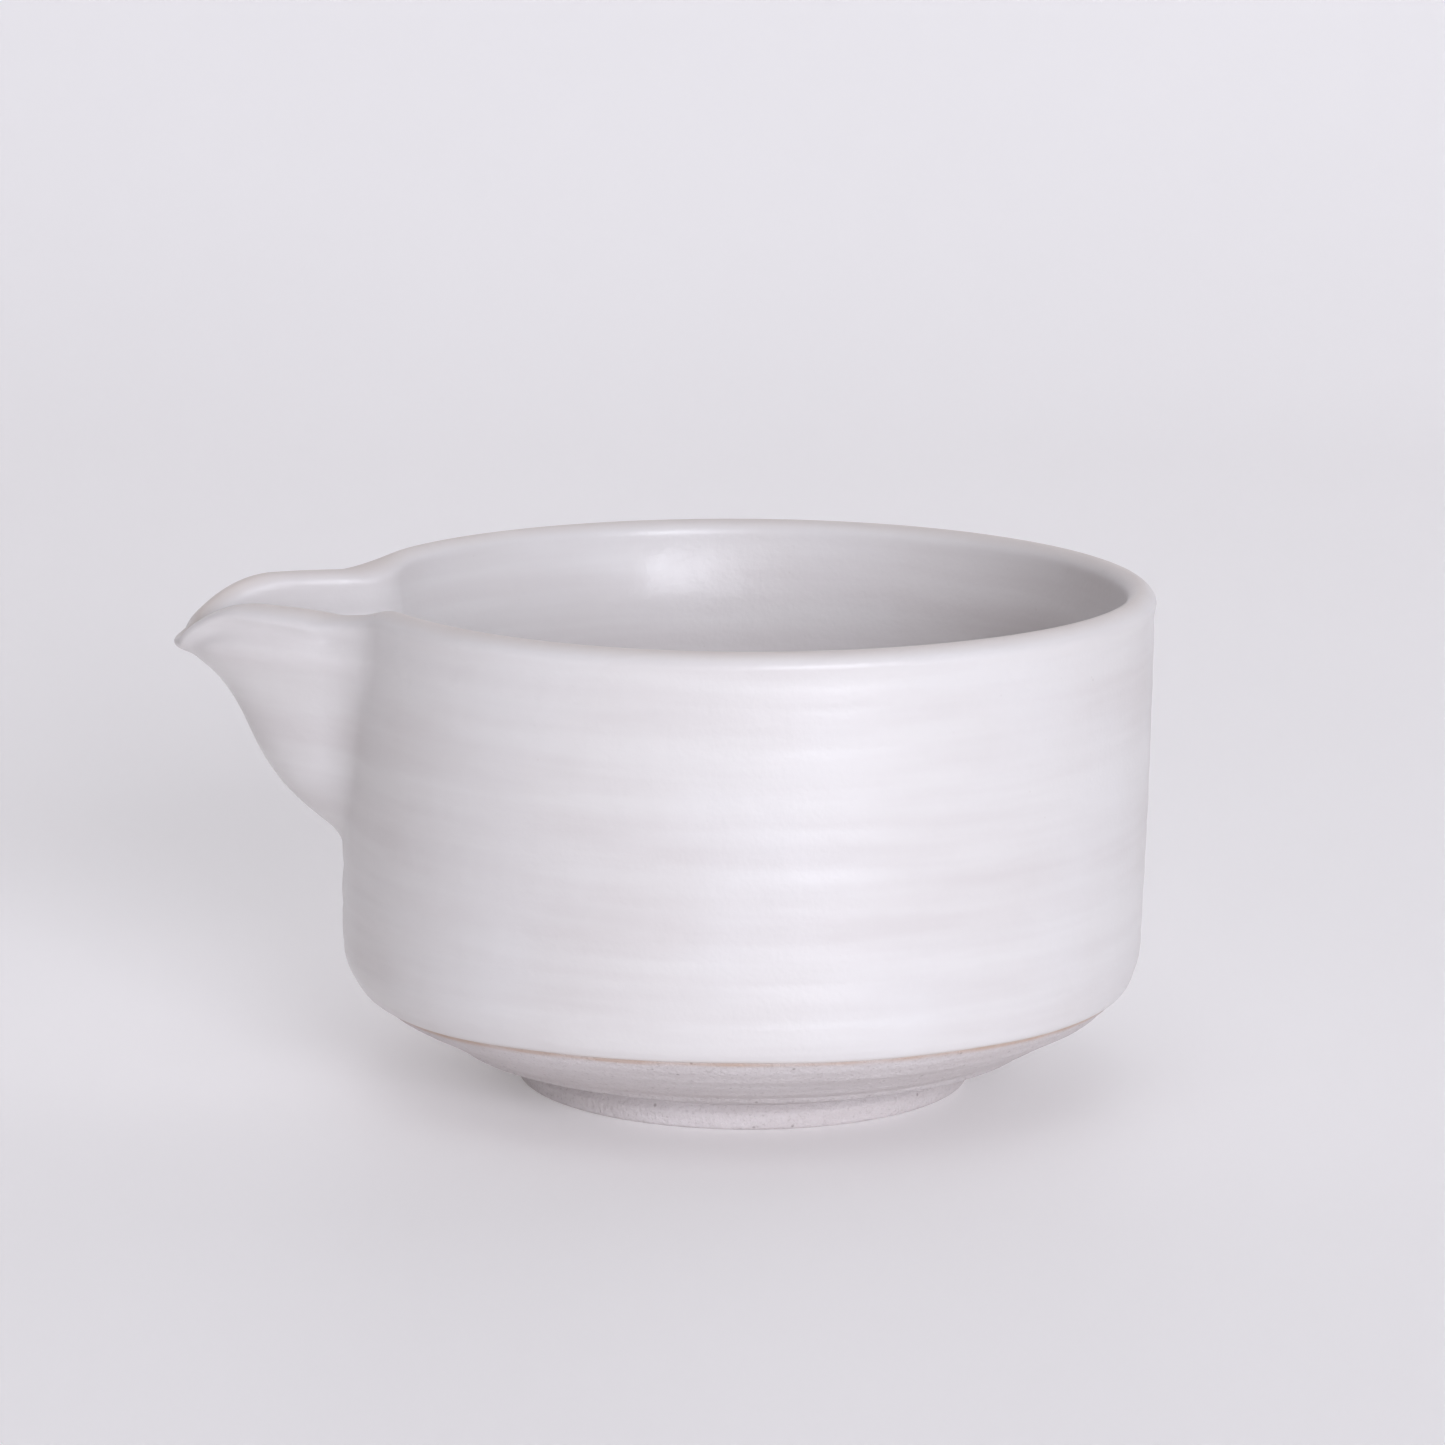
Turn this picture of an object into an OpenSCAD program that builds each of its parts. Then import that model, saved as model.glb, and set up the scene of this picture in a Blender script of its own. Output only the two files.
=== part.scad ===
// Spouted bowl: a straight-sided stoneware bowl on a turned foot ring, with a
// pulled pouring spout joined to its wall and a satin white glaze that stops
// above a bare heel. All sizes are in millimetres. The origin is the middle of
// the circle that the foot stands on, +Z is up and the spout points along -X.

/* [Bowl] */
// Outer radius of the bowl at the rim
rim_r = 60; // [54:1:66]
// Height of the rim above the table
rim_h = 75; // [72:1:84]
// Thickness of the wall with its glaze, which is also the thickness of the rim
wall_t = 4.2; // [3.6:0.1:5]
// How much narrower the wall is at the heel than at the rim
wall_lean = 0.7; // [0.2:0.1:2]
// Height at which the wall and the underside would meet in a sharp corner
corner_h = 15; // [13:0.5:17]
// Radius of the rounded heel
heel_r = 12; // [8:0.5:14]
// Slope of the underside below the heel, in degrees
underside_slope = 28; // [24:1:30]
// Radius at which the underside turns flatter towards the foot
underside_turn_r = 44; // [42:1:46]
// Radius of the hollow's rounded bottom edge
hollow_round_r = 18; // [14:1:22]
// Thickness of the floor
floor_t = 5.5; // [5:0.5:8]

/* [Foot] */
// Outer radius of the foot ring
foot_r = 33.6; // [30:0.2:36]
// Width of the ring's resting face, with its rounded edges
foot_w = 6; // [4:0.5:8]
// Height of the foot ring
foot_h = 4; // [3:0.5:5]
// Radius of the rounded lower edges of the ring
foot_round_r = 0.8; // [0.4:0.1:1.2]

/* [Glaze] */
// Thickness of the glaze
glaze_t = 0.4; // [0.3:0.05:0.6]
// Height at which the outer glaze stops
glaze_h = 16; // [14:0.5:20]

/* [Spout] */
// Distance from the bowl's axis to the tip of the spout
spout_reach = 84.8; // [78:0.2:92]
// Width of the spout where its sides reach the wall at the rim
spout_w = 40; // [32:1:44]
// Height at which the underside of the spout leaves the wall
root_h = 36.5; // [32:0.5:42]
// Height of the tip
tip_h = 65; // [62:0.5:67]
// Thickness of the spout's sides
spout_t = 3.8; // [3.2:0.1:4.4]
// How far the lips fall below the rim beside the wall
lip_dip = 1.2; // [0:0.1:2]
// How far the lips fall again towards the tip
lip_droop = 7; // [5:0.5:7]
// Length of that last fall
droop_length = 11; // [8:1:14]
// Width of the rounded corner between spout and wall at the rim
root_blend = 7; // [4:0.5:8]

/* [Hidden] */
$fn = 96;

clay = "#c9bbb0";
glaze = "#ebe7e6";

// Small gap that keeps two faces from lying in one plane
eps = 0.05;
// How deep the blended edges of the spout and its channel sink past the wall's
// faces, so that they cross the faces and the glaze cleanly
outer_sink = glaze_t + 0.2;
inner_sink = 0.15;
// Radius of the rounded rim, and the middle of the wall there
rim_round_r = wall_t / 2;
wall_mid_r = rim_r - rim_round_r;
floor_h = foot_h + floor_t;
// Angle of the wall from the vertical
lean_angle = atan(wall_lean / (rim_h - corner_h));
// Angle inside the bowl between the wall and the underside
heel_angle = 90 + lean_angle + underside_slope;

// Radius of the glazed wall at a height
function wall_at(h) = rim_r - wall_lean * (rim_h - h) / (rim_h - corner_h);
function underside_at(r) = corner_h - (rim_r - wall_lean - r) * tan(underside_slope);

// ---- outlines that are turned about the axis ----

// Centre of the heel's arc, on the line that halves the heel's angle
heel_middle = let (corner = [rim_r - wall_lean, corner_h],
                   along = heel_angle / 2 - lean_angle)
    corner + heel_r / sin(heel_angle / 2) * [-sin(along), cos(along)];

// Everything inside the outer face of the bowl, set back from the glazed face
module outside_outline(back) {
    arc_r = heel_r - back;
    wall_foot = heel_middle + arc_r * [cos(lean_angle), -sin(lean_angle)];
    heel_foot = heel_middle + arc_r * [sin(underside_slope), -cos(underside_slope)];
    turn = [underside_turn_r, underside_at(underside_turn_r) + back];
    translate(heel_middle)
        circle(arc_r);
    translate([wall_mid_r, rim_h - rim_round_r])
        circle(rim_round_r - back);
    polygon([
        [0, foot_h],
        [foot_r, foot_h],
        turn,
        heel_foot,
        heel_middle,
        wall_foot,
        [rim_r - back, rim_h - rim_round_r],
        [wall_mid_r, rim_h - rim_round_r],
        [wall_mid_r, rim_h - back],
        [0, rim_h - back],
    ]);
}

// The bowl's hollow, set back into the clay from the glazed face
module hollow_outline(back) {
    wall_in_r = rim_r - wall_t + back;
    low_r = wall_at(floor_h + hollow_round_r) - wall_t + back;
    round_r = hollow_round_r + back;
    middle = [low_r - round_r, floor_h + hollow_round_r];
    translate(middle)
        circle(round_r);
    polygon([
        [0, floor_h - back],
        [middle.x, floor_h - back],
        middle,
        [low_r, middle.y],
        [wall_in_r, rim_h - rim_round_r],
        [wall_mid_r, rim_h - rim_round_r],
        [wall_mid_r, rim_h + 1],
        [0, rim_h + 1],
    ]);
}

// Right half of a flat outline, so that it can be turned about the axis
module right_half() {
    intersection() {
        children();
        square([2 * rim_r, 2 * rim_h]);
    }
}

// Cross-section of the bowl's wall and floor, set back from the glazed faces
module body_outline(back) {
    right_half()
        difference() {
            outside_outline(back);
            difference() {
                hollow_outline(back);
                translate([wall_mid_r, rim_h - rim_round_r])
                    circle(rim_round_r - back);
            }
        }
}

// Cross-section of the glaze on both sides of the wall
module coat_outline() {
    difference() {
        body_outline(0);
        body_outline(glaze_t);
    }
}

// ---- the spout ----

// Point at t, from 0 to 1, on a smooth curve with two end points and two guide points
function bezier(p, t) =
    pow(1 - t, 3) * p[0] + 3 * pow(1 - t, 2) * t * p[1] + 3 * (1 - t) * t * t * p[2] + pow(t, 3) * p[3];

function mix(a, b, t) = a + (b - a) * t;
function ease(t) = let (u = min(max(t, 0), 1)) u * u * (3 - 2 * u);

// Larger of two radii, with the corner between them rounded over a width
function blend_max(a, b, width) =
    let (near = max(width - abs(a - b), 0) / width)
    max(a, b) + near * near * width / 4;

// Distance from the axis to a parabola whose nose is at a reach, in a direction
function nose_at(reach, bluntness, angle) =
    2 * reach / (cos(angle) + sqrt(pow(cos(angle), 2) + 4 * reach * pow(sin(angle), 2) / bluntness));

// Bluntness of the spout's plan outside and in the channel
outer_blunt = pow(spout_w / 2, 2) / (spout_reach - sqrt(pow(rim_r, 2) - pow(spout_w / 2, 2)));
channel_blunt = outer_blunt - 1.4 * spout_t;

overhang = spout_reach - rim_r;
rise = tip_h - root_h;
// Keel of the spout and floor of its channel, as reach and height
keel = [
    [wall_at(root_h), root_h],
    [rim_r + 0.73 * overhang, root_h + 0.4 * rise],
    [rim_r + 0.41 * overhang, root_h + 0.72 * rise],
    [spout_reach, tip_h],
];
channel_floor = [
    [rim_r - wall_t - 1, root_h + 2],
    keel[1] + spout_t * [-0.9, 0.5],
    keel[2] + spout_t * [-0.9, 0.5],
    keel[3] + [-2, 0.5],
];

// Width of the rounded corner between wall and spout: it grows towards the rim
function blend_width(h) = mix(root_blend / 3, root_blend, ease((h - root_h) / (rim_h - root_h)));

// Radius of the spout's outside and of its channel, for a point [reach, height]
// of the keel or the channel floor; back is the depth below the glazed face
function spout_outer(p, angle, back) =
    blend_max(wall_at(p.y) - back,
              nose_at(p.x - back, outer_blunt - 1.25 * back, angle), blend_width(p.y)) - outer_sink;
function spout_inner(p, angle, back) =
    blend_max(wall_at(p.y) - wall_t + back,
              nose_at(p.x + back, channel_blunt + 1.25 * back, angle), root_blend / 2) - inner_sink;

// Height of the lips where they are a distance x in front of the axis. They start
// just under the glaze on the rim.
function lip_height(x) =
    rim_h - glaze_t - eps - lip_dip * ease((x - rim_r) / 6)
    - lip_droop * pow(max(0, 1 - (spout_reach - x) / droop_length), 2);

columns = 12; // on each side of the keel
keel_rows = 10;
upper_rows = 2;
lip_rows = 6;
spread = 30; // half of the angle that the spout takes up on the wall

// Directions of the columns, closest together at the nose
column_angles = [for (i = [-columns : columns])
    spread * sign(i) * pow(abs(i) / columns, 1.6)];

// Cross-section of the spout's wall in one direction: up the outside, over the
// rounded lip and down the channel
function wall_section(angle, back) =
    let (outer_r = spout_outer(keel[3], angle, back),
         inner_r = spout_inner(channel_floor[3], angle, back),
         lip_h = lip_height(spout_outer(keel[3], angle, 0) * cos(angle)) - back,
         shoulder_h = max(lip_h - rim_round_r, channel_floor[3].y),
         middle_r = (outer_r + inner_r) / 2,
         half_w = (outer_r - inner_r) / 2)
    concat(
        [for (j = [0 : keel_rows]) let (p = bezier(keel, j / keel_rows))
            [spout_outer(p, angle, back), p.y]],
        [for (j = [1 : upper_rows]) [outer_r, mix(tip_h, shoulder_h, j / (upper_rows + 1))]],
        [for (j = [0 : lip_rows]) let (turn = 180 * j / lip_rows)
            [middle_r + half_w * cos(turn), shoulder_h + (lip_h - shoulder_h) * sin(turn)]],
        [for (j = [upper_rows : -1 : 1])
            [inner_r, mix(channel_floor[3].y, shoulder_h, j / (upper_rows + 1))]],
        [for (j = [keel_rows : -1 : 0]) let (p = bezier(channel_floor, j / keel_rows))
            [spout_inner(p, angle, back), p.y]]
    );

// Cross-section of the space inside the channel, open upwards and towards the bowl
function space_section(angle, back) =
    let (inner_r = spout_inner(channel_floor[3], angle, back),
         deep_r = rim_r / 2)
    concat(
        [for (j = [0 : keel_rows]) let (p = bezier(channel_floor, j / keel_rows))
            [spout_inner(p, angle, back), p.y]],
        [[inner_r, rim_h + 2], [deep_r, rim_h + 2], [deep_r, channel_floor[0].y]]
    );

// Faces that close the end of a thin section: a strip across it, from side to side
function strip_cap(size) = concat(
    [for (j = [0 : (size - 5) / 2]) [j, j + 1, size - 2 - j, size - 1 - j]],
    [[(size - 3) / 2, (size - 1) / 2, (size + 1) / 2]]);

// One face that closes the end of a section, fanned out from its last corner
function fan_cap(size) = [[for (j = [0 : size - 1]) (j + size - 1) % size]];

// Solid swept through the sections of all columns, with its ends closed by a cap
module swept(sections, cap) {
    last = len(sections) - 1;
    size = len(sections[0]);
    points = [for (i = [0 : last]) for (s = sections[i])
        [-s.x * cos(column_angles[i]), s.x * sin(column_angles[i]), s.y]];
    sides = [for (i = [0 : last - 1]) for (j = [0 : size - 1]) for (half = [0, 1])
        let (a = i * size + j, b = i * size + (j + 1) % size)
        half == 0 ? [a, b + size, b] : [a, a + size, b + size]];
    far_cap = [for (face = cap) [for (k = [len(face) - 1 : -1 : 0]) last * size + face[k]]];
    polyhedron(points, concat(sides, cap, far_cap));
}

module spout_wall(back) {
    sections = [for (a = column_angles) wall_section(a, back)];
    swept(sections, strip_cap(len(sections[0])));
}

module channel_space(back) {
    sections = [for (a = column_angles) space_section(a, back)];
    swept(sections, fan_cap(len(sections[0])));
}

// The whole bowl as a filled shape, up to the clay's outer face
module filled_bowl() {
    rotate_extrude()
        right_half()
            outside_outline(glaze_t);
}

// ---- sub-parts ----

module bowl_body() {
    color(clay)
        difference() {
            rotate_extrude()
                body_outline(glaze_t);
            channel_space(0);
        }
}

module foot_ring() {
    inner_r = foot_r - foot_w;
    color(clay)
        rotate_extrude() {
            translate([inner_r, foot_round_r])
                square([foot_w, foot_h - foot_round_r]);
            translate([inner_r + foot_round_r, 0])
                square([foot_w - 2 * foot_round_r, foot_h]);
            for (r = [inner_r + foot_round_r, foot_r - foot_round_r])
                translate([r, foot_round_r])
                    circle(foot_round_r);
        }
}

module pouring_spout() {
    color(clay)
        difference() {
            spout_wall(glaze_t);
            filled_bowl();
        }
}

// The glaze outside and over the rim's outer half, above the bare heel
module turned_outer_glaze() {
    rotate_extrude()
        difference() {
            coat_outline();
            hollow_outline(glaze_t);
            square([rim_r, glaze_h]);
        }
}

module outer_glaze() {
    color(glaze)
        difference() {
            difference() {
                turned_outer_glaze();
                channel_space(glaze_t);
            }
            spout_wall(0);
        }
}

module inner_glaze() {
    color(glaze)
        difference() {
            rotate_extrude()
                intersection() {
                    coat_outline();
                    hollow_outline(glaze_t);
                }
            channel_space(0);
        }
}

module spout_glaze() {
    color(glaze)
        difference() {
            spout_wall(0);
            spout_wall(glaze_t);
            filled_bowl();
        }
}

bowl_body();
foot_ring();
pouring_spout();
outer_glaze();
inner_glaze();
spout_glaze();
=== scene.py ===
"""A spouted stoneware bowl under a satin white glaze, with a bare heel and a turned foot ring."""

import math

import bpy
import numpy as np
from mathutils import Matrix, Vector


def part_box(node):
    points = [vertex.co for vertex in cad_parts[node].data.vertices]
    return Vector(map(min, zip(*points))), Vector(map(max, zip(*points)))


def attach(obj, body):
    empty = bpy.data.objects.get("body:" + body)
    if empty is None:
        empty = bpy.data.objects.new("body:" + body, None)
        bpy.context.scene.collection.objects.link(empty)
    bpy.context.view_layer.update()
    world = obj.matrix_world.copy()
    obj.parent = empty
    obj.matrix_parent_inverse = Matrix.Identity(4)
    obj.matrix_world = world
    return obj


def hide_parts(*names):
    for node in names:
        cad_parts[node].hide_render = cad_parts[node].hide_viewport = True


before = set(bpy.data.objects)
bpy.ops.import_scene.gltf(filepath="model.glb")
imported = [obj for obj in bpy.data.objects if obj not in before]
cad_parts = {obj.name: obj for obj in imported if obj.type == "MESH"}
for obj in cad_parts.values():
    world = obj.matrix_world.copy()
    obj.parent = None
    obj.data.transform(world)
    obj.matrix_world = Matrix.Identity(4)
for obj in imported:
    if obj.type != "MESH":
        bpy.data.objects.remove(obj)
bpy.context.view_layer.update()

MM = 0.001

# ---- sizes of the pot in millimetres; the first ones come from the frame ----

coat_low, coat_high = (np.array(corner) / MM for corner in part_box("outer_glaze"))
foot_high = np.array(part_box("foot_ring")[1]) / MM
spout_low = np.array(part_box("spout_glaze")[0]) / MM

RIM_R = coat_high[0]
RIM_H = coat_high[2]
GLAZE_H = coat_low[2]
FOOT_R = foot_high[0]
FOOT_H = foot_high[2]
ROOT_H = spout_low[2]
FACE_SINK = 0.6  # depth by which the spout's faces are sunk in the frame
SPOUT_REACH = FACE_SINK - spout_low[0]
TIP_H = 65.0

WALL_T = 4.2  # wall with its glaze, which is also the thickness of the rim
WALL_LEAN = 0.7  # how much narrower the wall is at the heel than at the rim
LOWER_FULLNESS = 1.0  # extra thickness of the wall below the rim
CORNER_H = 15.0  # height at which wall and underside would meet in a corner
HEEL_R = 12.0
UNDERSIDE_SLOPE = math.radians(28)
UNDERSIDE_TURN_R = 44.0  # radius at which the underside turns flatter
HOLLOW_ROUND_R = 18.0  # the hollow's rounded bottom edge
FLOOR_H = 9.5  # height of the floor inside
FOOT_W = 6.0
GLAZE_T = 0.4
RING_PITCH = 5.6  # climb of the throwing rings in one turn

SPOUT_T = 3.8
SPOUT_HALF_W = 20.0
LIP_DIP = 1.5  # fall of the lips beside the wall
LIP_DROOP = 6.9  # fall of the lips towards the tip
DROOP_LENGTH = 11.0
ROOT_BLEND = 7.0  # width of the rounded corner between spout and wall

RIM_ROUND = WALL_T / 2
LEAN = WALL_LEAN / (RIM_H - CORNER_H)


# ---- small shape helpers ----


def ease(t):
    """Smooth step: 0 below 0, 1 above 1, and 3t^2 - 2t^3 between."""
    t = np.clip(t, 0.0, 1.0)
    return t * t * (3.0 - 2.0 * t)


def swell(x, middle, width):
    """Bell curve of height 1: e to the power of minus the square of the distance from the
    middle in widths."""
    return np.exp(-(((x - middle) / width) ** 2))


def blend_max(a, b, width):
    """The larger of two radii; where they are closer than a width, a parabola rounds the corner."""
    near = np.maximum(width - np.abs(a - b), 0.0) / width
    return np.maximum(a, b) + near * near * width / 4.0


def bezier(points, t):
    """Point at t on the cubic curve with two end points and two guide points."""
    p = np.asarray(points, float)
    t = np.asarray(t)[..., None]
    return (
        (1 - t) ** 3 * p[0]
        + 3 * (1 - t) ** 2 * t * p[1]
        + 3 * (1 - t) * t**2 * p[2]
        + t**3 * p[3]
    )


def arc(middle, radius, start, end, count):
    """Points on an arc between two angles in degrees, without its last point."""
    turn = np.radians(np.linspace(start, end, count, endpoint=False))
    return np.stack([middle[0] + radius * np.cos(turn), middle[1] + radius * np.sin(turn)], -1)


def line(start, end, count):
    """Evenly spaced points on a line, without its last point."""
    t = np.linspace(0.0, 1.0, count, endpoint=False)[:, None]
    return np.asarray(start, float) * (1 - t) + np.asarray(end, float) * t


# ---- outlines of the thrown bowl, as radius against height ----


def wall_r(h):
    """Outer radius of the wall: it leans in by WALL_LEAN from the rim down to the heel."""
    return RIM_R - LEAN * (RIM_H - h)


def underside_h(r):
    """Height of the sloping underside at a radius."""
    return CORNER_H - (RIM_R - WALL_LEAN - r) * math.tan(UNDERSIDE_SLOPE)


def heel_middle():
    """Centre of the heel's arc: as far from the wall's line as from the underside's line."""
    corner = np.array([RIM_R - WALL_LEAN, CORNER_H])
    lean = math.atan(LEAN)
    half = (math.pi / 2 + lean + UNDERSIDE_SLOPE) / 2
    along = half - lean
    return corner + HEEL_R / math.sin(half) * np.array([-math.sin(along), math.cos(along)])


def outside_profile():
    """Radius and height from the underside's turn, up the cone and the heel's arc, to the rim."""
    middle = heel_middle()
    start = -90 + math.degrees(UNDERSIDE_SLOPE)
    heel = arc(middle, HEEL_R, start, -math.degrees(math.atan(LEAN)), 40)
    turn = [UNDERSIDE_TURN_R, underside_h(UNDERSIDE_TURN_R)]
    return np.concatenate([line(turn, heel[0], 20), heel, [[wall_r(RIM_H), RIM_H]]])


PROFILE = outside_profile()
TURN_H = PROFILE[0, 1]


def outside_r(h):
    """Outer radius of the bowl at a height, read off the profile."""
    return np.interp(h, PROFILE[:, 1], PROFILE[:, 0])


# ---- the spout: horizontal sections are parabolas with their nose on the keel ----

overhang = SPOUT_REACH - RIM_R
rise = TIP_H - ROOT_H
keel = np.array([
    [wall_r(ROOT_H), ROOT_H],
    [RIM_R + 0.73 * overhang, ROOT_H + 0.40 * rise],
    [RIM_R + 0.41 * overhang, ROOT_H + 0.72 * rise],
    [SPOUT_REACH, TIP_H],
])
channel_floor = np.array([
    [RIM_R - WALL_T - 1.0, ROOT_H + 2.0],
    keel[1] + SPOUT_T * np.array([-0.9, 0.5]),
    keel[2] + SPOUT_T * np.array([-0.9, 0.5]),
    keel[3] + np.array([-2.0, 0.5]),
])
OUTER_BLUNT = SPOUT_HALF_W**2 / (SPOUT_REACH - math.sqrt(RIM_R**2 - SPOUT_HALF_W**2))
CHANNEL_BLUNT = OUTER_BLUNT - 1.4 * SPOUT_T


def reach_at(curve, h):
    """Reach of the keel or of the channel's floor at a height: it falls inwards below its root,
    and above the tip it runs on along its tangent until a rounded corner holds it."""
    points = bezier(curve, np.linspace(0.0, 1.0, 300))
    root = points[0] - np.array([12.0, 6.0])
    ahead = points[-1] + 8.0 * (points[-1] - points[-30])
    points = np.concatenate([[root], points, [ahead]])
    reach = np.interp(h, points[:, 1], points[:, 0])
    return -blend_max(-reach, -(curve[3][0] + 0.5) + 0 * reach, 3.0)


def nose_r(reach, blunt, angle):
    """Polar form of the parabola y^2 = blunt (reach - x), seen from the bowl's axis."""
    c = np.cos(angle)
    s = np.sin(angle)
    return np.where(
        c > 0.2,
        2 * reach / (np.maximum(c, 0.2) + np.sqrt(c**2 + 4 * reach * s**2 / blunt)),
        0.0,
    )


def fullness(angle):
    """How much blunter the spout is than its design: hand work left one side fuller."""
    return 1 + 0.2 * ease(-np.sin(angle) / 0.12)


def outer_r(angle, h):
    """The bowl's outside with the spout: the larger of the wall and the parabola, blended."""
    width = ROOT_BLEND * (0.4 + 0.45 * ease((h - ROOT_H) / (RIM_H - ROOT_H)))
    nose = nose_r(reach_at(keel, h), OUTER_BLUNT * fullness(angle), angle)
    return blend_max(outside_r(h), nose, width)


def inner_r(angle, h):
    """The bowl's inside with the channel, blended in the same way. The wall thins towards
    the rim."""
    channel = nose_r(reach_at(channel_floor, h), CHANNEL_BLUNT * fullness(angle), angle)
    wall = wall_r(h) - WALL_T - LOWER_FULLNESS * ease((71.0 - h) / 9.0)
    return blend_max(wall, channel, 0.7 * ROOT_BLEND)


def on_spout(angle, h):
    """1 on the spout's outside, 0 on the bowl's wall."""
    return ease((outer_r(angle, h) - outside_r(h) - 0.5) / 4.0)


def rim_height(angle):
    """Height of the rim and the lips: level round the bowl, a shallow dip where the spout
    starts, and a steep fall along a parabola over the last DROOP_LENGTH to the tip."""
    r = outer_r(angle, RIM_H)
    x = r * np.cos(angle)
    nearness = np.maximum(0.0, 1 - (SPOUT_REACH - x) / DROOP_LENGTH) * (np.cos(angle) > 0)
    turn = np.angle(np.exp(1j * angle))
    pinch = 1.5 * swell(turn, -0.37, 0.085) + 0.5 * swell(turn, 0.33, 0.07)
    waver = 0.12 * np.sin(2 * angle + 0.6) + 0.08 * np.sin(3 * angle + 2.0)
    dip = (LIP_DIP + 1.5 * (fullness(angle) - 1)) * ease((r - RIM_R) / 7.0)
    return RIM_H - 0.2 + waver - pinch - dip - LIP_DROOP * nearness**2


def glaze_edge_height(angle):
    """Height at which the glaze stops: lowest below the spout and highest across it, with a
    slow waver."""
    front = np.maximum(0.0, -np.sin(angle)) ** 3
    back = np.maximum(0.0, np.sin(angle)) ** 3
    waver = 0.1 * np.sin(5 * angle + 1.1) + 0.06 * np.sin(11 * angle)
    return GLAZE_H - 1.4 - 0.6 * np.cos(angle) + 1.35 * front + 1.2 * back + waver


# ---- the hand-thrown surface ----


def throwing_rings(angle, h):
    """Ridges left by the fingers, as height along the normal: helical waves with a narrow groove
    at each turn, stronger on one side and low down, and none close to the rim."""
    climb = h + RING_PITCH / 2 * angle / math.pi
    wave = 0.05 * np.sin(2 * math.pi * climb / RING_PITCH)
    groove = np.sin(math.pi * (climb / RING_PITCH + 0.3 + 0.05 * np.sin(2 * angle)))
    wave -= 0.1 * swell(groove, 0.0, 0.33)
    wave += 0.04 * np.sin(2 * math.pi * climb / 8.9 + 1.0 + 0.9 * np.sin(2 * angle))
    wave += 0.02 * np.sin(2 * math.pi * climb / 2.9 + 2.1)
    side = 0.65 + 0.35 * np.cos(angle + 0.5)
    low = 0.45 + 0.55 * ease((RIM_H - h) / 45.0)
    clear = ease((RIM_H - 3.0 - h) / 6.0) * ease((h - CORNER_H + 1.0) / 5.0)
    return wave * side * low * clear


def lip_bead(angle, h, top):
    """The rounded bead along the spout's lips and the faint groove beneath it."""
    bead = 0.6 * swell(h, top - 1.5, 1.0) - 0.4 * swell(h, top - 4.0, 1.3)
    fade = ease((h - 62.0) / 4.0)
    return bead * on_spout(angle, h) * fade


def rim_bead(angle, h, top):
    """A slight fullness just under the bowl's rim, over a faint hollow."""
    bead = 0.22 * swell(h, top - 1.8, 1.2) - 0.1 * swell(h, top - 4.4, 1.3)
    return bead * (1 - on_spout(angle, h))


def off_round(angle):
    """How far the bowl is from round, as a slow change of radius."""
    return 0.18 * np.sin(2 * angle + 0.8) + 0.1 * np.sin(3 * angle + 2.2)


def axis_shift(h):
    """How far the pot has slumped along the spout's direction at a height."""
    return -0.45 * swell(h, 20.0, 16.0)


# ---- grids of points ----


def column_angles():
    """Directions of the columns, from the spout round the bowl: close together at the
    spout's nose and wide apart behind it."""
    near = np.radians(np.linspace(-30.0, 30.0, 151))
    near = np.sign(near) * np.abs(near / near[-1]) ** 1.25 * near[-1]
    far = np.linspace(near[-1], 2 * math.pi + near[0], 152)[1:-1]
    return np.concatenate([near, far])


ANGLES = column_angles()


def turned(values):
    """A column of values repeated in every direction round the axis."""
    return np.repeat(values[:, None], len(ANGLES), 1)


def wall_path(start_h, out_rows, lip_rows, in_rows):
    """Radius, height, and a count from 0 to 1 outside, 1 to 2 over the rim and 2 to 3 inside,
    for every column: up the outside, over a half ellipse at the rim, and down to the floor."""
    a = ANGLES[None, :]
    top = rim_height(a)
    shoulder = np.maximum(top - RIM_ROUND, TIP_H + 0.45)

    s = np.linspace(0.0, 1.0, out_rows)[:, None]
    out_h = start_h + (shoulder - start_h) * (s - 0.08 * np.sin(2 * math.pi * s))
    out_r = outer_r(a, out_h)

    turn = np.linspace(0.0, math.pi, lip_rows + 2)[1:-1, None]
    inner_start = inner_r(a, shoulder)
    middle = (out_r[-1] + inner_start) / 2
    half = (out_r[-1] - inner_start) / 2
    lip_r = middle + half * np.cos(turn)
    lip_h = shoulder + (top - shoulder) * np.sin(turn)

    low_h = FLOOR_H + HOLLOW_ROUND_R
    s_in = np.linspace(0.0, 1.0, in_rows)[:, None]
    in_h = shoulder + (low_h - shoulder) * (s_in - 0.08 * np.sin(2 * math.pi * s_in))
    in_r = inner_r(a, in_h)

    low_r = wall_r(low_h) - WALL_T - LOWER_FULLNESS
    round_middle = [low_r - HOLLOW_ROUND_R, low_h]
    bottom = np.concatenate([
        arc(round_middle, HOLLOW_ROUND_R, 0, -90, 26)[1:],
        line([round_middle[0], FLOOR_H], [0.0, FLOOR_H - 0.7], 26),
    ])
    bottom_r, bottom_h = turned(bottom[:, 0]), turned(bottom[:, 1])
    spiral = 0.16 * np.sin(bottom_r * 2 * math.pi / 9.0 + a)
    bottom_h = bottom_h + spiral * ease((38 - bottom_r) / 8) * ease(bottom_r / 6)

    r = np.concatenate([out_r, lip_r, in_r, bottom_r])
    h = np.concatenate([out_h, lip_h, in_h, bottom_h])
    count = np.concatenate([
        np.linspace(0, 1, out_rows),
        1 + np.linspace(0, 1, lip_rows + 2)[1:-1],
        np.linspace(2, 3, in_rows + len(bottom)),
    ])
    return r, h, turned(count)


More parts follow.
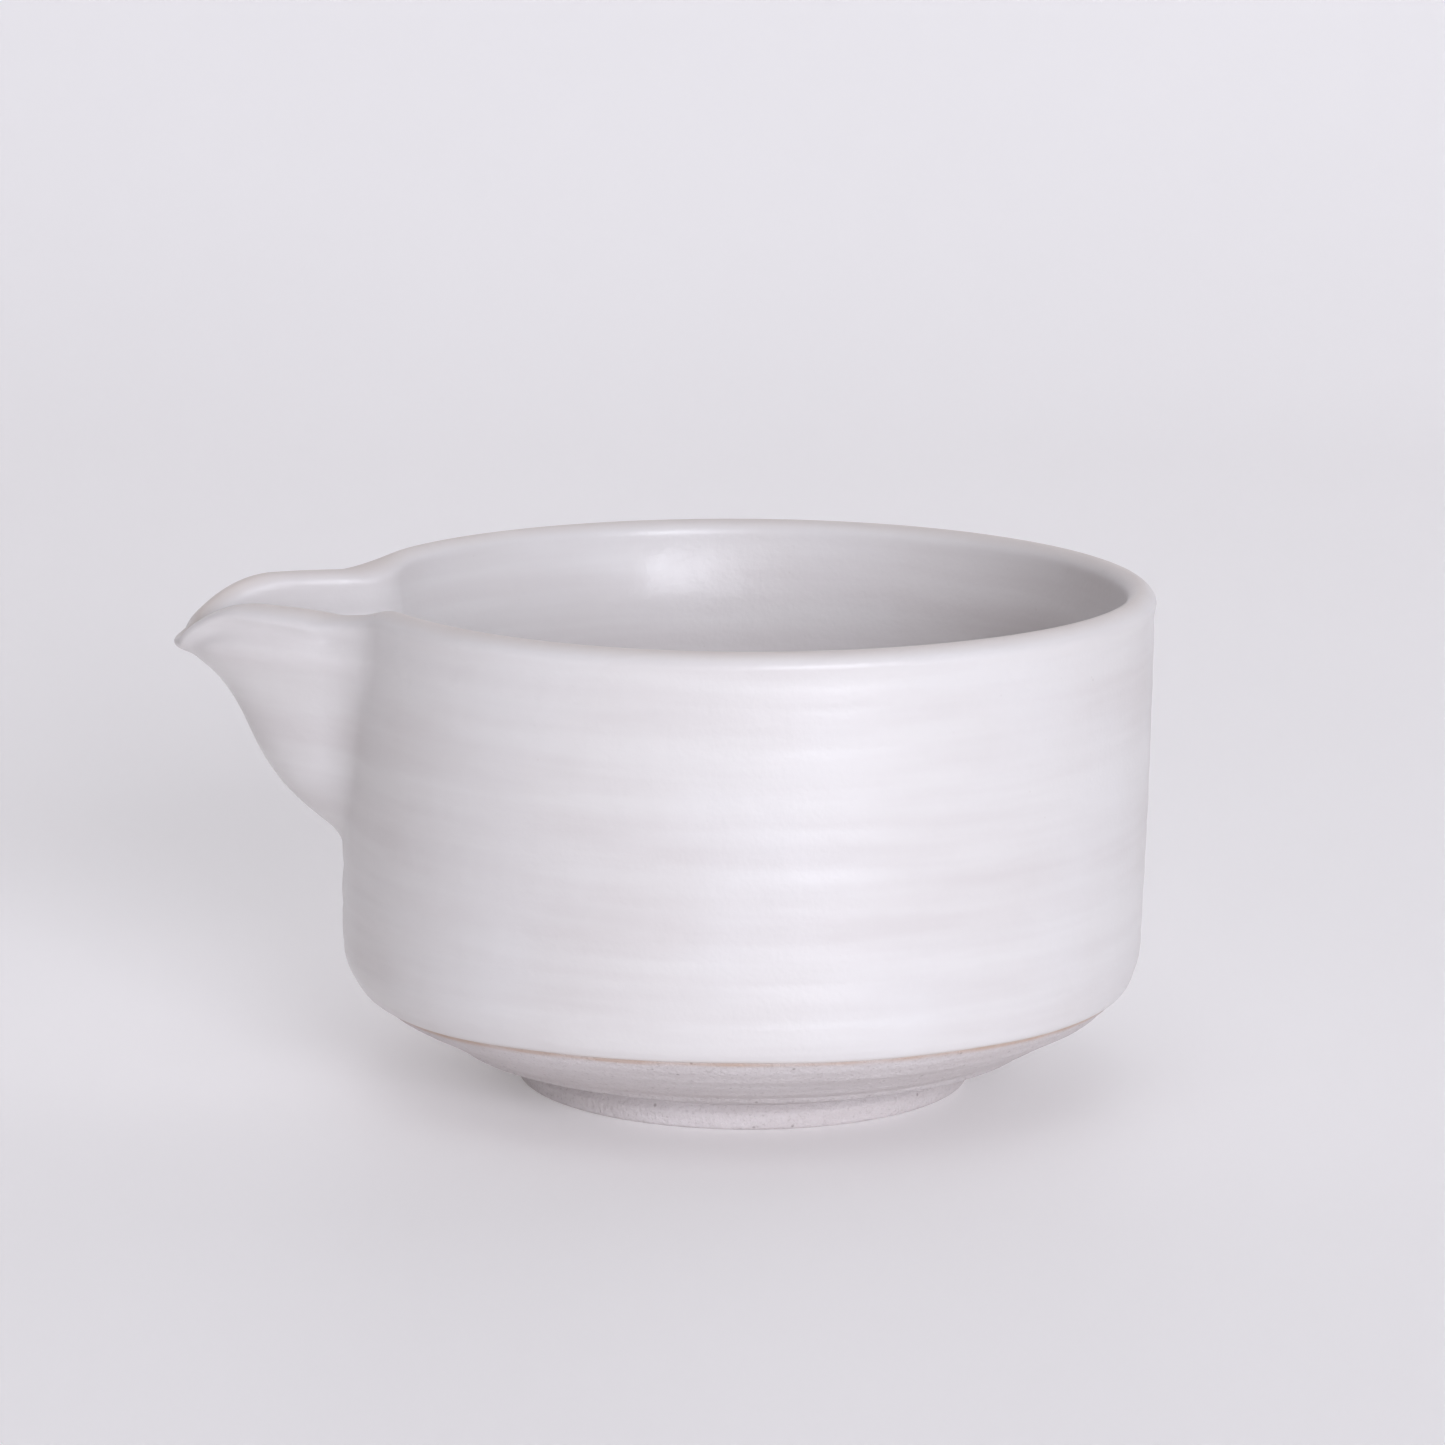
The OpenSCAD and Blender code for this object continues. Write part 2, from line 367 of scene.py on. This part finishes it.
def place(r, h):
    """Points of a radius and a height in every column's direction, with the spout along -X."""
    a = ANGLES[None, :]
    full = r + off_round(a) * ease(r / 20.0) * (1 - on_spout(a, h))
    return np.stack([-full * np.cos(a) + axis_shift(h), full * np.sin(a), h], -1)


def normals(points):
    """Unit vectors out of the clay: the cross product of the steps along a row and a column."""
    along = np.roll(points, -1, 1) - np.roll(points, 1, 1)
    up = np.gradient(points, axis=0)
    n = np.cross(up, along)
    return n / np.maximum(np.linalg.norm(n, axis=-1, keepdims=True), 1e-9)


def relief(angle, h, count):
    """All hand-made relief of the wall along its normal; the inside has softer rings."""
    top = rim_height(angle)
    outside = np.clip(1 - (count - 1) * 4, 0, 1)
    inside = np.clip((count - 2) * 4, 0, 1)
    rings = throwing_rings(angle, h)
    smooth = 1 - on_spout(angle, h)
    outer = (rings * smooth + lip_bead(angle, h, top) + rim_bead(angle, h, top)) * outside
    inner = -0.6 * throwing_rings(angle + 0.9, h + 1.7) * smooth * inside
    return outer + inner


def bowl_surface(start_h, out_rows, lip_rows, in_rows):
    """The glazed face of the whole bowl, its normals, and the running count of its rows."""
    r, h, count = wall_path(start_h, out_rows, lip_rows, in_rows)
    base = place(r, h)
    face = base + normals(base) * relief(ANGLES[None, :], h, count)[..., None]
    return face, normals(face), count


# ---- meshes ----


def grid_faces(rows, columns, joined):
    """Quads of a grid whose columns wrap round. Its rows wrap too where joined is true; otherwise
    a fan of triangles closes each end on one more point."""
    low = np.arange(rows if joined else rows - 1)[:, None] * columns
    high = (low + columns) % (rows * columns)
    j = np.arange(columns)[None, :]
    k = (j + 1) % columns
    quads = np.stack([low + j, high + j, high + k, low + k], -1).reshape(-1, 4).tolist()
    if joined:
        return quads
    ring = np.arange(columns)
    after = (ring + 1) % columns
    last = (rows - 1) * columns
    pole = np.full(columns, rows * columns)
    start_fan = np.stack([pole, ring, after], -1)
    end_fan = np.stack([pole + 1, last + after, last + ring], -1)
    return quads + start_fan.tolist() + end_fan.tolist()


def smooth_object(name, points, faces):
    """A smooth-shaded object in the scene from lists of points in metres and of faces."""
    mesh = bpy.data.meshes.new(name)
    mesh.from_pydata(points, [], faces)
    mesh.polygons.foreach_set("use_smooth", np.ones(len(mesh.polygons), bool))
    mesh.update()
    item = bpy.data.objects.new(name, mesh)
    bpy.context.scene.collection.objects.link(item)
    return item


def closed_piece(name, grid, values, joined=False):
    """A closed surface from a grid of points in millimetres, with its named point attributes."""
    points = grid.reshape(-1, 3)
    if not joined:
        points = np.concatenate([points, grid[:1].mean(1), grid[-1:].mean(1)])
    piece = smooth_object(name, (points * MM).tolist(), grid_faces(*grid.shape[:2], joined))
    for key, value in values.items():
        data = value.reshape(-1)
        if not joined:
            data = np.concatenate([data, [value[0].mean(), value[-1].mean()]])
        layer = piece.data.attributes.new(key, "FLOAT", "POINT")
        layer.data.foreach_set("value", data.astype(np.float32))
    return piece


def finish_piece(piece, material, slot, *nodes):
    """Gives a piece its material and its body, and hides the CAD nodes it stands for. The finish
    slot is not used.
    """
    piece.data.materials.append(material)
    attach(piece, "root")
    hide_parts(*nodes)


def glaze_coat():
    """The glaze as one closed skin. Its face is the bowl's surface; its back lies GLAZE_T
    behind, and at the glaze line the skin thins to nothing along a quarter circle. The
    attribute "thin" is 1 where the glaze runs thin: on the rim's crest, at the glaze line,
    and a little on the rings' ridges."""
    a = ANGLES[None, :]
    edge = glaze_edge_height(a)
    face, n, count = bowl_surface(edge, 124, 13, 56)
    above = face[..., 2] - edge
    thin_edge = np.where(count < 1, np.clip(1 - above / 0.9, 0, 1), 0.0)
    roll = 0.08 * swell(above, 1.6, 0.9) * (count < 1)
    drop = GLAZE_T * (1 - np.sqrt(1 - thin_edge**2)) - roll
    front = face - n * drop[..., None]
    back = (face - n * (GLAZE_T + 0.005))[::-4]
    back[-1] = front[0] - 0.02 * n[0]

    crest = 1 - np.abs(count - 1.5) / 0.5
    rings = np.clip(throwing_rings(a, face[..., 2]) / 0.12, 0, 1)
    rings = rings * (1 - on_spout(a, face[..., 2]))
    thin = np.clip(crest, 0, 1) + 0.8 * swell(above, 0.0, 0.7) * (count < 1) + 0.3 * rings
    grid = np.concatenate([back, front])
    values = {"thin": np.concatenate([np.zeros(back.shape[:2]), np.clip(thin, 0, 1)])}
    return closed_piece("glaze_coat", grid, values)


def clay_body():
    """The clay from the underside's centre, past the foot and up the bare heel, then on under
    the glaze over the rim and down to the floor. The attribute "flash" is 1 along the glaze
    line."""
    a = ANGLES[None, :]
    face, n, count = bowl_surface(TURN_H, 140, 9, 60)
    low_r = FOOT_R - FOOT_W
    recess_edge = [low_r - 3.0, FOOT_H + 0.3]
    seat_inside = [low_r + 1.0, FOOT_H + 0.05]
    seat_outside = [FOOT_R - 1.0, FOOT_H + 0.05]
    under = np.concatenate([
        line([1.0, FOOT_H + 0.9], recess_edge, 16),
        line(recess_edge, seat_inside, 5),
        line(seat_inside, seat_outside, 4),
        line(seat_outside, [FOOT_R - 0.3, FOOT_H + 0.45], 3),
        arc([FOOT_R + 0.15, FOOT_H + 0.2], 0.35, 170, 285, 7),  # the crease above the foot
        line([FOOT_R + 0.4, FOOT_H - 0.15], [UNDERSIDE_TURN_R, TURN_H], 16),
    ])
    r, h = turned(under[:, 0]), turned(under[:, 1])
    marks = 0.05 * np.sin(2 * math.pi * r / 2.3 + a)
    marks = marks + 0.05 * np.sin(2 * math.pi * r / 4.1 + 2 + a)
    h = h + marks * ease(r / 8.0)
    low = place(r, h)
    wall = face - n * (GLAZE_T + 0.03)
    turning = 0.05 * np.sin(2 * math.pi * face[..., 2] / 1.9 + 1.4 * a)
    turning = turning + 0.04 * np.sin(2 * math.pi * face[..., 2] / 3.3 + a)
    bare = ease((glaze_edge_height(a) - face[..., 2]) / 1.0) * (count < 1)
    wall = wall + n * (turning * bare)[..., None]

    grid = np.concatenate([low, wall])
    above = grid[..., 2] - glaze_edge_height(a)
    outside = np.concatenate([np.ones(low.shape[:2]), (count < 1) * 1.0])
    flash = swell(above, -0.1, 0.35) * outside
    return closed_piece("clay_body", grid, {"flash": flash})


def turned_foot():
    """A ring turned on the wheel: a rectangle with a bulging outer side and rounded corners,
    carried round the axis."""
    low_r = FOOT_R - FOOT_W
    section = np.concatenate([
        line([FOOT_R - 0.6, FOOT_H + 1.4], [FOOT_R - 0.25, FOOT_H - 0.35], 5),
        arc([FOOT_R - 2.6, 2.0], 2.87, 34, -20, 12),
        arc([FOOT_R - 0.55, 0.65], 0.65, 5, -90, 8),
        line([FOOT_R - 0.55, 0.0], [low_r + 1.2, 0.0], 6),
        arc([low_r + 1.2, 1.2], 1.2, 270, 180, 9),
        line([low_r, 1.2], [low_r - 0.3, FOOT_H + 1.4], 8),
        line([low_r - 0.3, FOOT_H + 1.4], [FOOT_R - 0.6, FOOT_H + 1.4], 5),
    ])[::-1]
    a = ANGLES[None, :]
    r = section[:, :1] + 0.12 * np.sin(a + 1.0) + 0.08 * np.sin(3 * a)
    h = turned(section[:, 1])
    r = r + 0.06 * np.sin(2 * math.pi * h / 1.6 + a) * (r > FOOT_R - 1.0)
    grid = np.stack([-r * np.cos(a), r * np.sin(a), h], -1)
    return closed_piece("turned_foot", grid, {"flash": np.zeros(grid.shape[:2])}, joined=True)


# ---- materials ----


def new_material(name):
    """An empty node material with its shader, and coordinates in millimetres."""
    material = bpy.data.materials.new(name)
    material.use_nodes = True
    tree = material.node_tree
    tree.nodes.clear()
    out = tree.nodes.new("ShaderNodeOutputMaterial")
    shader = tree.nodes.new("ShaderNodeBsdfPrincipled")
    tree.links.new(shader.outputs[0], out.inputs["Surface"])
    place_node = tree.nodes.new("ShaderNodeTexCoord")
    to_mm = tree.nodes.new("ShaderNodeMapping")
    to_mm.inputs["Scale"].default_value = (1000.0, 1000.0, 1000.0)
    tree.links.new(place_node.outputs["Object"], to_mm.inputs["Vector"])
    return material, tree, shader, to_mm.outputs["Vector"]


def stretched(tree, spot, scale):
    """The same coordinates stretched along each axis."""
    node = tree.nodes.new("ShaderNodeMapping")
    node.inputs["Scale"].default_value = scale
    tree.links.new(spot, node.inputs["Vector"])
    return node.outputs["Vector"]


def noise(tree, spot, scale, detail=2.0, roughness=0.5):
    """Soft cloudy noise from about 0.3 to 0.7."""
    node = tree.nodes.new("ShaderNodeTexNoise")
    node.inputs["Scale"].default_value = scale
    node.inputs["Detail"].default_value = detail
    node.inputs["Roughness"].default_value = roughness
    tree.links.new(spot, node.inputs["Vector"])
    return node.outputs["Fac"]


def specks(tree, spot, scale, size, rarity, strength):
    """Small round specks: strength in the middle of some cells and 0 elsewhere. The size is
    a speck's radius in cells, and each cell's random tone gives it no speck below the first
    number of the rarity and a full one above the second."""
    cell = tree.nodes.new("ShaderNodeTexVoronoi")
    cell.inputs["Scale"].default_value = scale
    tree.links.new(spot, cell.inputs["Vector"])
    near = spread(tree, cell.outputs["Distance"], size * 1.5, size * 0.5)
    tone = tree.nodes.new("ShaderNodeSeparateColor")
    tree.links.new(cell.outputs["Color"], tone.inputs[0])
    speck = maths(tree, "MULTIPLY", near, spread(tree, tone.outputs[0], *rarity))
    return maths(tree, "MULTIPLY", speck, strength)


def spread(tree, value, low, high, out_low=0.0, out_high=1.0):
    """A value's range from low to high stretched to another range, and held at its ends."""
    node = tree.nodes.new("ShaderNodeMapRange")
    node.inputs["From Min"].default_value = low
    node.inputs["From Max"].default_value = high
    node.inputs["To Min"].default_value = out_low
    node.inputs["To Max"].default_value = out_high
    tree.links.new(value, node.inputs["Value"])
    return node.outputs["Result"]


def maths(tree, operation, a, b):
    """One sum on a value and another value or number."""
    node = tree.nodes.new("ShaderNodeMath")
    node.operation = operation
    tree.links.new(a, node.inputs[0])
    if isinstance(b, (int, float)):
        node.inputs[1].default_value = b
    else:
        tree.links.new(b, node.inputs[1])
    return node.outputs[0]


def tint(tree, amount, below, above):
    """A colour that goes from one to another with an amount. below may be another colour node."""
    node = tree.nodes.new("ShaderNodeMix")
    node.data_type = "RGBA"
    tree.links.new(amount, node.inputs["Factor"])
    if isinstance(below, tuple):
        node.inputs[6].default_value = (*below, 1.0)
    else:
        tree.links.new(below, node.inputs[6])
    node.inputs[7].default_value = (*above, 1.0)
    return node.outputs[2]


def attribute(tree, name):
    """A point attribute of the piece."""
    node = tree.nodes.new("ShaderNodeAttribute")
    node.attribute_name = name
    return node.outputs["Fac"]


def bump(tree, shader, height, distance, strength=1.0):
    """Fine relief on the shader from a height value, with its depth in metres."""
    node = tree.nodes.new("ShaderNodeBump")
    node.inputs["Distance"].default_value = distance
    node.inputs["Strength"].default_value = strength
    tree.links.new(height, node.inputs["Height"])
    tree.links.new(node.outputs[0], shader.inputs["Normal"])


def satin_white_glaze():
    """White satin glaze: faint warm bands along the throwing rings, warmer where it is thin,
    a few iron specks, and an eggshell surface."""
    material, tree, shader, spot = new_material("satin_white_glaze")
    bands = noise(tree, stretched(tree, spot, (0.012, 0.012, 0.14)), 1.0, 3.0, 0.6)
    cloud = noise(tree, spot, 0.035)
    thin = spread(tree, attribute(tree, "thin"), 0.25, 1.0, 0.0, 0.62)
    dark_specks = specks(tree, spot, 0.16, 0.045, (0.80, 0.90), 0.5)
    faint_specks = specks(tree, spot, 0.45, 0.07, (0.88, 0.97), 0.22)
    colour = tint(tree, spread(tree, bands, 0.38, 0.66), (0.775, 0.75, 0.74), (0.715, 0.68, 0.672))
    colour = tint(tree, spread(tree, cloud, 0.45, 0.75, 0.0, 0.55), colour, (0.80, 0.783, 0.785))
    colour = tint(tree, thin, colour, (0.66, 0.575, 0.515))
    colour = tint(tree, dark_specks, colour, (0.30, 0.22, 0.17))
    colour = tint(tree, faint_specks, colour, (0.42, 0.35, 0.30))
    tree.links.new(colour, shader.inputs["Base Color"])
    sheen = spread(tree, noise(tree, spot, 0.09), 0.35, 0.65, 0.36, 0.46)
    tree.links.new(sheen, shader.inputs["Roughness"])
    shader.inputs["IOR"].default_value = 1.5
    shader.inputs["Specular IOR Level"].default_value = 0.5
    shader.inputs["Coat Weight"].default_value = 0.15
    shader.inputs["Coat Roughness"].default_value = 0.28
    fine = maths(tree, "MULTIPLY", noise(tree, spot, 1.6), 0.25)
    eggshell = maths(tree, "ADD", noise(tree, spot, 0.33), fine)
    bump(tree, shader, eggshell, 0.00022, 0.5)
    return material


def bare_stoneware():
    """Unglazed stoneware: pinkish grey clay with darker grains, pale grains and a rusty flash
    along the glaze line."""
    material, tree, shader, spot = new_material("bare_stoneware")
    cloud = noise(tree, stretched(tree, spot, (0.03, 0.03, 0.25)), 1.0, 3.0, 0.6)
    colour = tint(tree, spread(tree, cloud, 0.35, 0.68), (0.70, 0.655, 0.655), (0.62, 0.57, 0.565))
    grain = noise(tree, spot, 1.7, 3.0, 0.7)
    colour = tint(tree, spread(tree, grain, 0.56, 0.75, 0.0, 0.6), colour, (0.40, 0.355, 0.345))
    colour = tint(tree, spread(tree, grain, 0.42, 0.25, 0.0, 0.5), colour, (0.70, 0.66, 0.66))
    dark_grains = specks(tree, spot, 0.55, 0.12, (0.72, 0.85), 0.6)
    colour = tint(tree, dark_grains, colour, (0.20, 0.165, 0.155))
    patchy = spread(tree, noise(tree, spot, 0.12), 0.3, 0.6, 0.35, 0.9)
    rust = maths(tree, "MULTIPLY", attribute(tree, "flash"), patchy)
    colour = tint(tree, rust, colour, (0.56, 0.39, 0.29))
    tree.links.new(colour, shader.inputs["Base Color"])
    tree.links.new(spread(tree, grain, 0.3, 0.7, 0.80, 0.92), shader.inputs["Roughness"])
    shader.inputs["Specular IOR Level"].default_value = 0.35
    bump(tree, shader, noise(tree, spot, 1.3, 4.0, 0.65), 0.0005, 0.7)
    return material


def studio_paper():
    """Pale matt paper with the faintest unevenness. Its faint glow stands in for light
    bounced from all round the room."""
    material, tree, shader, spot = new_material("studio_paper")
    cloud = noise(tree, spot, 0.006)
    colour = tint(tree, spread(tree, cloud, 0.3, 0.7), (0.87, 0.855, 0.86), (0.88, 0.865, 0.87))
    tree.links.new(colour, shader.inputs["Base Color"])
    shader.inputs["Roughness"].default_value = 0.5
    shader.inputs["Specular IOR Level"].default_value = 0.5
    shader.inputs["Emission Color"].default_value = (1.0, 0.99, 1.0, 1.0)
    shader.inputs["Emission Strength"].default_value = 0.14
    return material


# ---- studio ----


def sweep():
    """The floor and backdrop as one sheet: flat, then a quarter circle up into a wall behind."""
    flat_end, bend_r = 0.62, 0.45
    wall_y = flat_end + bend_r
    section = np.concatenate([
        line([-3.0, 0.0], [flat_end, 0.0], 24),
        arc([flat_end, bend_r], bend_r, -90, 0, 24),
        line([wall_y, bend_r], [wall_y, 4.0], 8),
    ])
    x = np.linspace(-4.0, 4.0, 17)
    rows, columns = len(section), len(x)
    grid = np.empty((rows, columns, 3))
    grid[..., 0] = x[None, :]
    grid[..., 1] = section[:, :1]
    grid[..., 2] = section[:, 1:]
    i = np.arange(rows - 1)[:, None] * columns
    j = np.arange(columns - 1)[None, :]
    quads = np.stack([i + j, i + j + 1, i + columns + j + 1, i + columns + j], -1)
    points = grid.reshape(-1, 3).tolist()
    sheet = smooth_object("paper_sweep", points, quads.reshape(-1, 4).tolist())
    sheet.data.materials.append(studio_paper())


def soft_box(name, azimuth, elevation, distance, size, power, colour):
    """A square lamp that looks at the bowl; azimuth runs from the front towards +X."""
    turn, lift = math.radians(azimuth), math.radians(elevation)
    lamp = bpy.data.lights.new(name, "AREA")
    lamp.shape = "SQUARE"
    lamp.size = size
    lamp.energy = power
    lamp.color = colour
    box = bpy.data.objects.new(name, lamp)
    box.location = (
        distance * math.cos(lift) * math.sin(turn),
        -distance * math.cos(lift) * math.cos(turn),
        distance * math.sin(lift) + 0.04,
    )
    box.rotation_euler = (math.pi / 2 - lift, 0.0, turn)
    bpy.context.scene.collection.objects.link(box)


def room_light(colour, even, lobes):
    """Light from the whole room: an even part, and for each lobe (direction, strength) a part
    that falls off as the cosine of the angle from its direction."""
    world = bpy.data.worlds.new("room")
    world.use_nodes = True
    tree = world.node_tree
    backdrop = tree.nodes["Background"]
    backdrop.inputs["Color"].default_value = (*colour, 1.0)
    spot = tree.nodes.new("ShaderNodeTexCoord").outputs["Generated"]
    total = None
    for toward, strength in lobes:
        facing = tree.nodes.new("ShaderNodeVectorMath")
        facing.operation = "DOT_PRODUCT"
        facing.inputs[1].default_value = toward
        tree.links.new(spot, facing.inputs[0])
        part = spread(tree, facing.outputs["Value"], 0.0, 1.0, 0.0, strength)
        total = part if total is None else maths(tree, "ADD", total, part)
    tree.links.new(maths(tree, "ADD", total, even), backdrop.inputs["Strength"])
    bpy.context.scene.world = world


def camera():
    """A long lens in front of the bowl, looking slightly down. Its place is in rim radii, and
    its tilt, pan and roll are in radians."""
    away, up = 13.62, 3.577
    tilt, pan, roll = 0.1948, 0.0044, 0.0072
    lens = bpy.data.cameras.new("camera")
    lens.lens = 139.8
    lens.sensor_width = 36.0
    lens.clip_start = 0.05
    lens.clip_end = 50.0
    eye = bpy.data.objects.new("camera", lens)
    turn = Matrix.Rotation(pan, 4, "Z") @ Matrix.Rotation(math.pi / 2 - tilt, 4, "X")
    turn = turn @ Matrix.Rotation(roll, 4, "Z")
    eye.matrix_world = Matrix.Translation((0.0, -away * RIM_R * MM, up * RIM_R * MM)) @ turn
    bpy.context.scene.collection.objects.link(eye)
    bpy.context.scene.camera = eye


glaze = satin_white_glaze()
clay = bare_stoneware()
finish_piece(glaze_coat(), glaze, "white_glaze", "outer_glaze", "inner_glaze", "spout_glaze")
finish_piece(clay_body(), clay, "bare_clay", "bowl_body", "pouring_spout")
finish_piece(turned_foot(), clay, "bare_clay", "foot_ring")

sweep()
room_light((1.0, 0.94, 0.98), 0.05, [((-0.8, -0.15, 0.58), 0.25)])
soft_box("key", 20, 14, 4.5, 1.8, 150.0, (0.90, 0.915, 1.0))
soft_box("top", 5, 66, 3.0, 2.0, 13.0, (0.95, 0.95, 1.0))
camera()

bpy.context.scene.view_settings.view_transform = "Standard"
